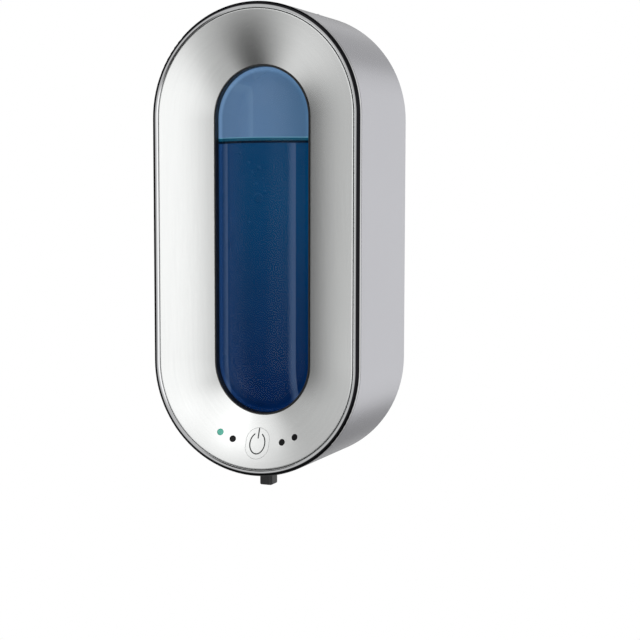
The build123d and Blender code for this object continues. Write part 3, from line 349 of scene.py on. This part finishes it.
def brushed_dish_steel(name="brushed_dish_steel", marked=False):
    """Satin stainless steel, brushed round the racetrack. An engraved mark is filled in dark."""
    material, tree, shader = start_material(name, Metallic=1.0)
    brushing = place_group(tree, RACETRACK_BRUSHING, Lines_per_Metre=LINES_OUTWARD)
    tone = blend_colours(tree, brushing["Streaks"], (0.80, 0.81, 0.805), (0.86, 0.87, 0.86))
    if marked:
        tone = blend_colours(tree, cut_into_dish(tree), tone, (0.030, 0.034, 0.034))
    tree.links.new(tone, shader.inputs["Base Color"])
    roughness = ramp(tree, brushing["Lines"], 0.25, 0.75, 0.20, 0.27)
    tree.links.new(roughness, shader.inputs["Roughness"])
    add_bump(tree, shader, brushing["Lines"], 0.003 * MM, 0.5, hollow_normal(tree))
    return material


def polished_chrome():
    """Mirror plating with the faintest wipe marks, and a painted dark reflection round its outer
    front edge.
    """
    material, tree, shader = start_material("polished_chrome", Metallic=1.0)
    skin = place_group(tree, MOULDED_GRAIN, Grain_Scale=900.0, Patch_Scale=60.0)
    tone = blend_colours(tree, skin["Patches"], (0.86, 0.87, 0.88), (0.90, 0.90, 0.91))
    radius = racetrack_radius(tree, axis_of(tree, "X"), axis_of(tree, "Z"))
    starts, full = DARK_REFLECTION_INWARD
    outward = ramp(tree, radius, OUTER_R - starts, OUTER_R - full)
    full, ends = DARK_REFLECTION_BACK
    forward = ramp(tree, axis_of(tree, "Y"), FRONT_Y + full, FRONT_Y + ends, 1.0, 0.0)
    painted_dark_reflection = calculate(tree, "MULTIPLY", outward, forward)
    # painted dark reflection: near-black tone on the rounded outer front edge
    tone = blend_colours(tree, painted_dark_reflection, tone, (0.015, 0.015, 0.017))
    tree.links.new(tone, shader.inputs["Base Color"])
    roughness = ramp(tree, skin["Patches"], 0.35, 0.7, 0.04, 0.075)
    tree.links.new(roughness, shader.inputs["Roughness"])
    add_bump(tree, shader, skin["Grain"], 0.0004 * MM, 0.3)
    return material


def satin_shell():
    """Satin lacquered metal of the side shell, smooth and faintly lilac."""
    material, tree, shader = start_material("satin_shell", Metallic=0.9)
    skin = place_group(tree, MOULDED_GRAIN, Grain_Scale=5200.0, Patch_Scale=18.0)
    film = place_group(tree, SETTLED_DUST, Amount=0.06)["Mask"]
    tone = blend_colours(tree, skin["Patches"], (0.70, 0.70, 0.745), (0.73, 0.73, 0.775))
    tone = blend_colours(tree, film, tone, (0.62, 0.60, 0.58))
    tree.links.new(tone, shader.inputs["Base Color"])
    gloss = ramp(tree, skin["Grain"], 0.3, 0.7, 0.15, 0.19)
    tree.links.new(calculate(tree, "ADD", gloss, film), shader.inputs["Roughness"])
    add_bump(tree, shader, skin["Grain"], 0.003 * MM, 0.4)
    return material


def tinted_pane():
    """Clear plastic window whose thick rim carries a painted glow in the colour of what it holds."""
    material, tree, shader = start_material(
        "tinted_pane", Metallic=0.0, Transmission_Weight=1.0, IOR=1.15, Emission_Strength=0.9
    )
    skin = place_group(tree, MOULDED_GRAIN, Grain_Scale=700.0, Patch_Scale=45.0)
    clear = blend_colours(tree, skin["Patches"], (0.93, 0.96, 0.98), (0.90, 0.94, 0.97))
    tree.links.new(clear, shader.inputs["Base Color"])
    tree.links.new(ramp(tree, skin["Patches"], 0.3, 0.7, 0.02, 0.04), shader.inputs["Roughness"])
    radius = racetrack_radius(tree, axis_of(tree, "X"), axis_of(tree, "Z"))
    # painted glow: the pane's rim gives off the colour behind the window
    rim = ramp(tree, radius, *RIM_RISES, 0.0, 0.22)
    edge = ramp(tree, radius, *RIM_DIMS, 1.0, 0.25)
    lit = calculate(tree, "MULTIPLY", rim, edge)
    glow = blend_colours(tree, lit, (0.0, 0.0, 0.0), window_tone(tree))
    tree.links.new(glow, shader.inputs["Emission Color"])
    add_bump(tree, shader, skin["Grain"], 0.0006 * MM, 0.3)
    return material


def window_tone(tree):
    """Colour of what stands behind the window: pale blue air above deep blue soap.

    The air is darker to the right. The soap is paler to the left and darker lower down.
    A pale streak of painted highlight runs down both near each side.
    """
    x = axis_of(tree, "X")
    z = axis_of(tree, "Z")
    place = new_node(tree, "ShaderNodeTexCoord").outputs["Object"]
    across = ramp(tree, x, -WINDOW_HALF, WINDOW_HALF)
    air = blend_colours(tree, across, (0.125, 0.210, 0.330), (0.062, 0.132, 0.225))
    drift = calculate(tree, "MULTIPLY", noise_at(tree, place, 22.0, 3.0), 0.2)
    height = calculate(tree, "ADD", ramp(tree, z, soap_low.z, SOAP_Z), drift, True)
    soap = blend_colours(tree, height, (0.0006, 0.010, 0.054), (0.0006, 0.036, 0.104))
    left = ramp(tree, x, -WINDOW_HALF, PALE_SIDE_END, 0.75, 0.0)
    soap = blend_colours(tree, left, soap, (0.013, 0.040, 0.120))
    # painted highlights: pale vertical streaks in the soap and in the air
    left_streak = highlight_streak_at(tree, x, STREAK_LEFT)
    right_streak = highlight_streak_at(tree, x, STREAK_RIGHT)
    streak = calculate(tree, "MAXIMUM", left_streak, right_streak)
    in_soap = calculate(tree, "MULTIPLY", streak, 0.62)
    soap = blend_colours(tree, in_soap, soap, (0.062, 0.100, 0.185))
    in_air = calculate(tree, "MULTIPLY", streak, 0.45)
    air = blend_colours(tree, in_air, air, (0.170, 0.265, 0.380))
    # painted shade and highlight: dark then pale lines just under the soap's surface
    for reach, colour in SURFACE_LINES:
        line = ramp(tree, z, SOAP_Z - reach, SOAP_Z - reach + LINE_EDGE)
        soap = blend_colours(tree, line, soap, colour)
    above = ramp(tree, z, SOAP_Z - SURFACE_EDGE, SOAP_Z + SURFACE_EDGE)
    return blend_colours(tree, above, soap, air)


def highlight_streak_at(tree, x, middle):
    """Soft vertical streak of painted highlight with a crisp right edge, at one side position."""
    past = calculate(tree, "SUBTRACT", x, middle)
    rise = ramp(tree, past, *STREAK_RISE)
    return calculate(tree, "MULTIPLY", rise, ramp(tree, past, *STREAK_FALL, 1.0, 0.0))


def filled_tank(name, roughness, glow):
    """Opaque look of the tank's contents, toned by their place behind the window, and given off again
    as a painted glow.
    """
    material, tree, shader = start_material(
        name, Metallic=0.0, IOR=1.2, Specular_IOR_Level=0.15, Emission_Strength=glow
    )
    tone = window_tone(tree)
    tree.links.new(tone, shader.inputs["Base Color"])
    # painted glow: the contents give off their own tone
    tree.links.new(tone, shader.inputs["Emission Color"])
    skin = place_group(tree, MOULDED_GRAIN, Grain_Scale=500.0, Patch_Scale=60.0)
    gloss = ramp(tree, skin["Patches"], 0.3, 0.7, roughness, 1.6 * roughness)
    tree.links.new(gloss, shader.inputs["Roughness"])
    add_bump(tree, shader, skin["Patches"], 0.02 * MM, 0.4)
    return material


def battery_wrap():
    """Cell sleeve: a dark band and a coloured band, with bare metal ends."""
    low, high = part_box("batteries")
    material, tree, shader = start_material("battery_wrap", Roughness=0.28)
    height = axis_of(tree, "Z")
    skin = place_group(tree, MOULDED_GRAIN, Grain_Scale=1800.0, Patch_Scale=80.0)
    starts, full = SLEEVE_SPLIT
    upper = ramp(tree, height, high.z - starts, high.z - full)
    sleeve = blend_colours(tree, upper, (0.02, 0.05, 0.03), (0.05, 0.28, 0.12))
    wear = calculate(tree, "MULTIPLY", skin["Patches"], 0.2)
    sleeve = blend_colours(tree, wear, sleeve, (0.2, 0.2, 0.2))
    full, ends = BARE_END
    top_end = ramp(tree, height, high.z - ends, high.z - full)
    low_end = ramp(tree, height, low.z + full, low.z + ends, 1.0, 0.0)
    bare = calculate(tree, "MAXIMUM", top_end, low_end)
    tree.links.new(blend_colours(tree, bare, sleeve, (0.62, 0.62, 0.60)), shader.inputs["Base Color"])
    tree.links.new(bare, shader.inputs["Metallic"])
    add_bump(tree, shader, skin["Grain"], 0.008 * MM)
    return material


def glowing_lens():
    """Indicator lens, lit teal green from behind."""
    material, tree, shader = start_material(
        "glowing_lens", Roughness=0.12, IOR=1.49, Coat_Weight=0.6, Emission_Strength=0.75
    )
    skin = place_group(tree, MOULDED_GRAIN, Grain_Scale=1500.0, Patch_Scale=260.0)
    tone = blend_colours(tree, skin["Patches"], (0.01, 0.16, 0.11), (0.06, 0.40, 0.30))
    tree.links.new(tone, shader.inputs["Base Color"])
    tree.links.new(tone, shader.inputs["Emission Color"])
    add_bump(tree, shader, skin["Grain"], 0.01 * MM)
    return material


# the plain finishes, which differ only in tone, gloss and grain
PLAIN_FINISHES = {
    "black_rubber": {
        "colour": (0.006, 0.006, 0.007),
        "second": (0.013, 0.013, 0.014),
        "roughness": 0.45,
        "grain": 1800.0,
        "depth": 0.02 * MM,
        "dust": 0.0,
    },
    "black_plastic": {
        "colour": (0.01, 0.01, 0.011),
        "second": (0.02, 0.02, 0.022),
        "roughness": 0.32,
        "grain": 2600.0,
        "depth": 0.015 * MM,
        "dust": 0.0,
    },
    "frame_plastic": {
        "colour": (0.035, 0.036, 0.038),
        "second": (0.055, 0.056, 0.058),
        "roughness": 0.5,
        "grain": 1900.0,
        "depth": 0.03 * MM,
        "dust": 0.12,
    },
    "white_plastic": {
        "colour": (0.78, 0.78, 0.76),
        "second": (0.84, 0.84, 0.81),
        "roughness": 0.42,
        "grain": 2100.0,
        "depth": 0.02 * MM,
        "dust": 0.0,
    },
    "lens_dark": {
        "colour": (0.002, 0.002, 0.003),
        "second": (0.006, 0.006, 0.007),
        "roughness": 0.12,
        "grain": 900.0,
        "depth": 0.002 * MM,
        "dust": 0.0,
        "IOR": 1.25,
    },
    "zinc_steel": {
        "colour": (0.6, 0.6, 0.57),
        "second": (0.7, 0.69, 0.64),
        "roughness": 0.3,
        "grain": 1600.0,
        "depth": 0.01 * MM,
        "dust": 0.05,
        "Metallic": 1.0,
    },
    "spring_steel": {
        "colour": (0.55, 0.55, 0.56),
        "second": (0.66, 0.66, 0.66),
        "roughness": 0.22,
        "grain": 2400.0,
        "depth": 0.006 * MM,
        "dust": 0.0,
        "Metallic": 1.0,
    },
    "magnet_iron": {
        "colour": (0.06, 0.06, 0.065),
        "second": (0.11, 0.11, 0.11),
        "roughness": 0.5,
        "grain": 1500.0,
        "depth": 0.03 * MM,
        "dust": 0.0,
        "Metallic": 0.6,
    },
    "board_green": {
        "colour": (0.01, 0.1, 0.045),
        "second": (0.015, 0.14, 0.06),
        "roughness": 0.35,
        "grain": 1100.0,
        "depth": 0.01 * MM,
        "dust": 0.0,
        "Coat_Weight": 0.4,
    },
    "hose_silicone": {
        "colour": (0.7, 0.72, 0.73),
        "second": (0.78, 0.79, 0.8),
        "roughness": 0.35,
        "grain": 1500.0,
        "depth": 0.012 * MM,
        "dust": 0.0,
    },
    "lead_wire": {
        "colour": (0.4, 0.02, 0.02),
        "second": (0.5, 0.04, 0.03),
        "roughness": 0.42,
        "grain": 3200.0,
        "depth": 0.01 * MM,
        "dust": 0.0,
    },
    "gear_white": {
        "colour": (0.8, 0.79, 0.74),
        "second": (0.86, 0.85, 0.8),
        "roughness": 0.38,
        "grain": 2600.0,
        "depth": 0.008 * MM,
        "dust": 0.0,
    },
}

FINISHES = {slot: moulded(slot, **values) for slot, values in PLAIN_FINISHES.items()}
FINISHES["trim_chrome"] = polished_chrome()
FINISHES["bezel_steel"] = brushed_dish_steel()
FINISHES["shell_satin"] = satin_shell()
FINISHES["tank_clear"] = tinted_pane()
FINISHES["soap_blue"] = filled_tank("blue_soap", 0.25, 0.62)
FINISHES["battery_wrap"] = battery_wrap()
FINISHES["lens_green"] = glowing_lens()

slot_of = {part["node"]: part["material_slot"] for part in frame["record"]["subparts"]}
for name, piece in nodes.items():
    piece.data.materials.clear()
    piece.data.materials.append(FINISHES[slot_of[name]])
nodes["tank_rear"].data.materials[0] = filled_tank("misted_tank", 0.45, 0.60)
nodes["power_button"].data.materials[0] = brushed_dish_steel("marked_key_steel", True)


# ---- bubbles in the soap ----------------------------------------------------------
# side position, height and radius of each bubble, in metres
BUBBLES = [
    (-13.4 * MM, 52.5 * MM, 0.9 * MM),
    (-6.9 * MM, 46.2 * MM, 1.1 * MM),
    (-0.4 * MM, 43.4 * MM, 1.3 * MM),
    (-4.6 * MM, 40.6 * MM, 0.7 * MM),
    (2.3 * MM, 37.0 * MM, 0.8 * MM),
    (-2.0 * MM, 33.8 * MM, 1.0 * MM),
    (-0.7 * MM, 25.8 * MM, 2.9 * MM),
    (3.6 * MM, 29.0 * MM, 0.9 * MM),
    (-6.7 * MM, 11.2 * MM, 0.8 * MM),
]


def bubble_skin():
    """Bubble against the window: clear in the middle, with a painted highlight as a pale rim, and a
    painted glow.
    """
    material, tree, shader = start_material(
        "bubble_skin", Roughness=0.15, IOR=1.2, Emission_Strength=0.6
    )
    facing = new_node(tree, "ShaderNodeLayerWeight").outputs["Facing"]
    skin = place_group(tree, MOULDED_GRAIN, Grain_Scale=900.0, Patch_Scale=200.0)
    # painted highlight: a pale rim where the bubble's surface turns away from view
    rim = calculate(tree, "MULTIPLY", ramp(tree, facing, 0.25, 0.9), 0.55)
    pale = blend_colours(tree, skin["Patches"], (0.045, 0.130, 0.230), (0.060, 0.160, 0.270))
    tone = blend_colours(tree, rim, window_tone(tree), pale)
    tree.links.new(tone, shader.inputs["Base Color"])
    # painted glow: the bubble gives off its own tone
    tree.links.new(tone, shader.inputs["Emission Color"])
    add_bump(tree, shader, skin["Grain"], 0.002 * MM)
    return material


def blow_bubbles():
    """Flattened bubbles that lie on the crowned front of the soap, behind the pane."""
    half = WINDOW_HALF + CROWN_MARGIN
    bow = (half**2 + CROWN_RISE**2) / (2 * CROWN_RISE)
    blown = bmesh.new()
    for x, z, radius in BUBBLES:
        front = soap_low.y + bow - (bow**2 - x**2) ** 0.5
        lean = Matrix.Rotation(-x / bow, 4, "Z")
        squash = Matrix.Diagonal((radius, BUBBLE_HALF_THICKNESS, radius, 1.0))
        place = Matrix.Translation((x, front, z)) @ lean @ squash
        bmesh.ops.create_icosphere(blown, subdivisions=3, radius=1.0, matrix=place)
    for face in blown.faces:
        face.smooth = True
    mesh = bpy.data.meshes.new("soap_bubbles")
    blown.to_mesh(mesh)
    blown.free()
    bubbles = bpy.data.objects.new("soap_bubbles", mesh)
    bpy.context.scene.collection.objects.link(bubbles)
    mesh.materials.append(bubble_skin())
    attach(bubbles, "housing")


blow_bubbles()


# ---- floor, light and camera ----------------------------------------------------
def lay_floor():
    """Plain pale floor well below the wall mounted object."""
    grid = bmesh.new()
    bmesh.ops.create_grid(grid, x_segments=1, y_segments=1, size=FLOOR_HALF)
    bmesh.ops.translate(grid, verts=grid.verts, vec=(0, 0, FLOOR_Z))
    mesh = bpy.data.meshes.new("floor")
    grid.to_mesh(mesh)
    grid.free()
    floor = bpy.data.objects.new("floor", mesh)
    bpy.context.scene.collection.objects.link(floor)
    glow = {"Emission_Color": (0.93, 0.93, 0.93), "Emission_Strength": 0.34}
    pale, paler = (0.93, 0.93, 0.93), (0.95, 0.95, 0.95)
    mesh.materials.append(moulded("pale_floor", pale, paler, 0.8, 60.0, 0.01 * MM, 0.0, **glow))
    floor.visible_glossy = False


def light_patch(tree, direction, inner, outer, level):
    """Soft round patch of light, or of shade if level is negative, on the sky."""
    looking = new_node(tree, "ShaderNodeTexCoord").outputs["Generated"]
    unit = new_node(tree, "ShaderNodeVectorMath", operation="NORMALIZE")
    tree.links.new(looking, unit.inputs[0])
    dot = new_node(tree, "ShaderNodeVectorMath", operation="DOT_PRODUCT")
    tree.links.new(unit.outputs[0], dot.inputs[0])
    dot.inputs[1].default_value = Vector(direction).normalized()
    return ramp(tree, dot.outputs["Value"], cos(radians(outer)), cos(radians(inner)), 0.0, level)


# level of the whole surround, and the least that any part of it may fall to
SKY_BASE = 0.64
SKY_LEAST = 0.03

# direction of each patch, degrees to its full and its outer edge, and level added
SKY_PATCHES = [
    ((0.10, -0.99, -0.06), 6, 22, 0.85),
    ((0.02, -0.86, 0.44), 6, 24, 0.85),
    ((-0.36, -0.72, 0.60), 6, 26, 0.72),
    ((-0.40, -0.66, -0.64), 6, 25, -0.57),
    ((-0.70, -0.58, -0.42), 5, 22, 0.40),
    ((-0.85, -0.52, 0.0), 4, 18, 0.10),
    ((-0.98, -0.15, 0.0), 5, 24, -0.20),
    ((0.86, -0.50, 0.05), 8, 28, 0.70),
    ((-0.42, 0.0, 0.90), 20, 50, -0.60),
    ((-0.9, 0.43, 0.0), 25, 55, -0.60),
    ((0.42, 0.907, -0.03), 12, 30, 0.25),
    ((0.03, 0.907, 0.50), 4, 16, -0.14),
    ((-0.1, 0.80, -0.62), 6, 26, -0.38),
    ((0.5, -0.25, -0.83), 15, 42, -0.58),
]


def hang_sky():
    """Soft studio surround: white to the eye, with soft patches in the reflections."""
    world = bpy.data.worlds.new("studio")
    bpy.context.scene.world = world
    world.use_nodes = True
    tree = world.node_tree
    tree.nodes.clear()
    level = SKY_BASE
    for direction, inner, outer, amount in SKY_PATCHES:
        level = calculate(tree, "ADD", light_patch(tree, direction, inner, outer, amount), level)
    reflected = new_node(tree, "ShaderNodeBackground")
    tree.links.new(calculate(tree, "MAXIMUM", level, SKY_LEAST), reflected.inputs["Strength"])
    seen = new_node(tree, "ShaderNodeBackground")
    seen.inputs["Color"].default_value = (1, 1, 1, 1)
    choose = new_node(tree, "ShaderNodeMixShader")
    path = new_node(tree, "ShaderNodeLightPath")
    tree.links.new(path.outputs["Is Camera Ray"], choose.inputs[0])
    tree.links.new(reflected.outputs[0], choose.inputs[1])
    tree.links.new(seen.outputs[0], choose.inputs[2])
    output = new_node(tree, "ShaderNodeOutputWorld")
    tree.links.new(choose.outputs[0], output.inputs["Surface"])


def set_camera():
    """Camera to the right and near the middle's height, looking slightly down a long lens."""
    data = bpy.data.cameras.new("camera")
    data.lens = LENS_MM
    data.sensor_width = SENSOR_MM
    data.clip_start = 0.05
    data.clip_end = 50.0
    camera = bpy.data.objects.new("camera", data)
    bpy.context.scene.collection.objects.link(camera)
    turn = Matrix.Rotation(radians(CAMERA_TURN), 4, "Z")
    tilt = Matrix.Rotation(radians(90 - CAMERA_DIP), 4, "X")
    roll = Matrix.Rotation(radians(CAMERA_ROLL), 4, "Z")
    camera.matrix_world = Matrix.Translation(CAMERA_PLACE) @ turn @ tilt @ roll
    bpy.context.scene.camera = camera


lay_floor()
hang_sky()
set_camera()
bpy.context.scene.view_settings.view_transform = "Standard"
